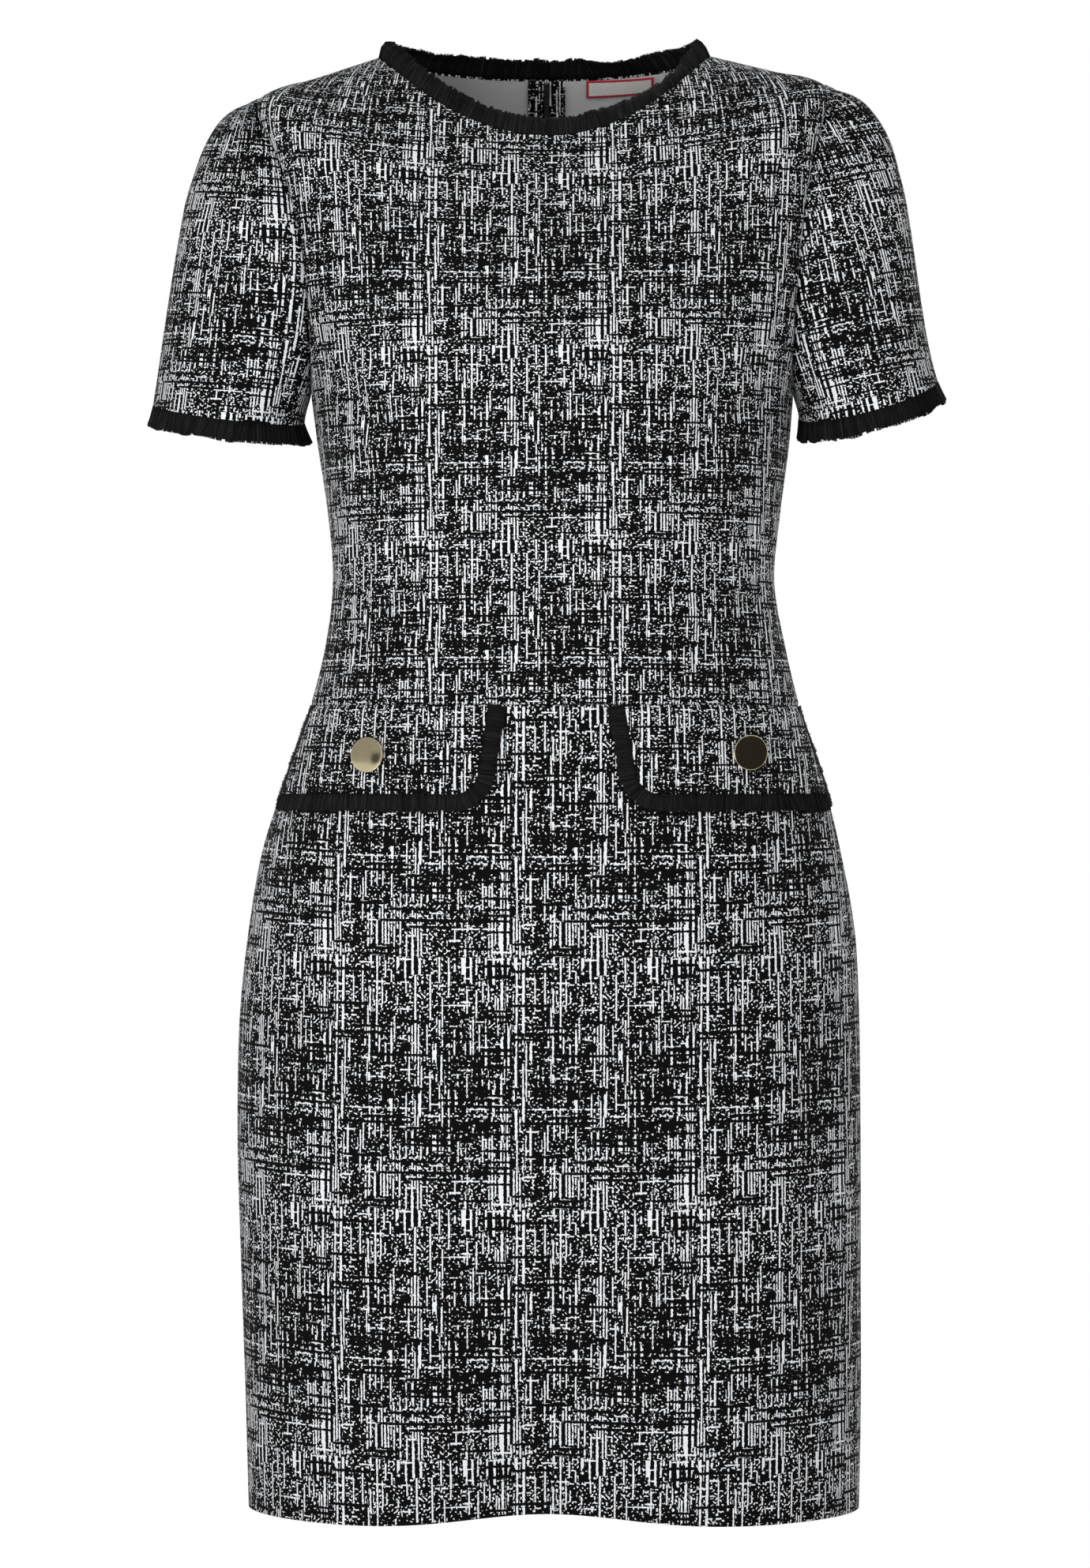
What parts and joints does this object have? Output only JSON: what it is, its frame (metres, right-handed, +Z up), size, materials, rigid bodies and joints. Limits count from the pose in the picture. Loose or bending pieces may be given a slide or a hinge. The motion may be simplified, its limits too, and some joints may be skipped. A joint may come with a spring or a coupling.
{
  "type": "shift dress",
  "caption": "Short-sleeved printed shift dress, filled out with no wearer, with fringed neck, cuffs and mock pocket flaps, flat metal buttons and a back zip.",
  "frame": {"origin": "midway between the two high shoulder points, at the level of the shoulder seams, where the wearer's shoulders carry the dress", "axes": "+Z up, the front of the dress faces -Y, and the wearer's left is +X"},
  "size_m": [0.526, 0.261, 0.9671],
  "materials": {
    "jersey": "double-knit jersey with a fine black and off-white print, matt",
    "fringe": "near-black yarn fringe, matt",
    "gold": "polished light gold",
    "zip": "black zip tape, coil, slider and tab",
    "label": "plain woven label with a red woven edge"
  },
  "bodies": {
    "dress": {"bodice_front": "jersey", "skirt_front": "jersey", "bodice_back_right": "jersey", "bodice_back_left": "jersey", "skirt_back_right": "jersey", "skirt_back_left": "jersey", "sleeve_right": "jersey", "sleeve_left": "jersey", "flap_right": "jersey", "flap_left": "jersey", "allowance_right": "jersey", "allowance_left": "jersey", "fringe_neck": "fringe", "fringe_cuff_right": "fringe", "fringe_cuff_left": "fringe", "fringe_flap_right": "fringe", "fringe_flap_left": "fringe", "button_right": "gold", "button_left": "gold", "zip_tapes": "zip", "zip_slider": "zip", "neck_label": "label"},
    "tab": {"pull_tab": "zip"}
  },
  "joints": [
    {"name": "tab_hinge", "type": "hinge", "parent": "dress", "child": "tab", "pos_m": [0, 0.06575, -0.00209], "axis": [1, 0, 0], "range_deg": [0, 130]}
  ]
}
